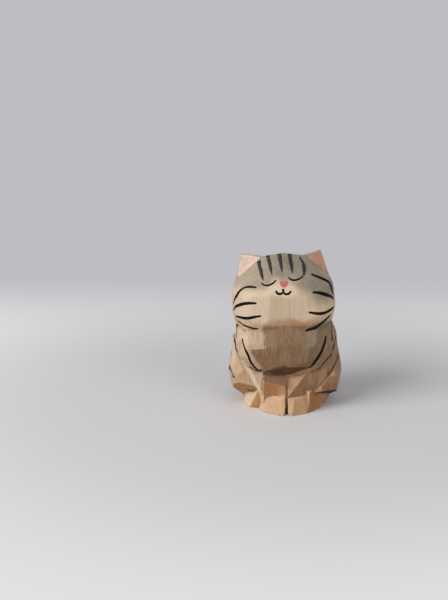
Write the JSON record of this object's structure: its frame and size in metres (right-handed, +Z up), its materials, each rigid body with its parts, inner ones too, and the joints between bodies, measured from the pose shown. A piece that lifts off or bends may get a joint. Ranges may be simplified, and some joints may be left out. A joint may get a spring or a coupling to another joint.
{
  "type": "wooden cat figurine",
  "caption": "Sitting cat whittled from one block of wood with knife-cut facets, eyes closed, brushed tabby stripes and a pink nose.",
  "frame": {"origin": "on the flat face it stands on, under the middle of the body", "axes": "+X towards the cat's left, -Y the way the cat faces, +Z up"},
  "size_m": [0.0508, 0.0418, 0.0698],
  "materials": {
    "limewood": "bare pale limewood, knife cut, with a thin grey and brown watercolour wash",
    "black_paint": "matte black acrylic brush line, drier and greyer on the forehead",
    "pink_paint": "matte dusty pink acrylic dab",
    "ear_tint": "thin matte pale pink wash"
  },
  "bodies": {
    "root": {"wooden_body": "limewood", "nose": "pink_paint", "right_ear_tint": "ear_tint", "left_ear_tint": "ear_tint", "forehead_stripe_1": "black_paint", "forehead_stripe_2": "black_paint", "forehead_stripe_3": "black_paint", "forehead_stripe_4": "black_paint", "forehead_stripe_5": "black_paint", "right_eye_line": "black_paint", "left_eye_line": "black_paint", "mouth_line": "black_paint", "right_cheek_stripe_1": "black_paint", "right_cheek_stripe_2": "black_paint", "right_cheek_stripe_3": "black_paint", "right_jaw_line": "black_paint", "left_cheek_stripe_1": "black_paint", "left_cheek_stripe_2": "black_paint", "left_cheek_stripe_3": "black_paint", "left_jaw_line": "black_paint", "right_chest_line": "black_paint", "left_chest_line": "black_paint", "right_flank_stripe_1": "black_paint", "right_flank_stripe_2": "black_paint", "right_flank_stripe_3": "black_paint", "left_flank_stripe_1": "black_paint", "left_flank_stripe_2": "black_paint", "left_flank_stripe_3": "black_paint", "haunch_stripe": "black_paint", "back_stripe_1": "black_paint", "back_stripe_2": "black_paint", "back_stripe_3": "black_paint"}
  },
  "joints": []
}
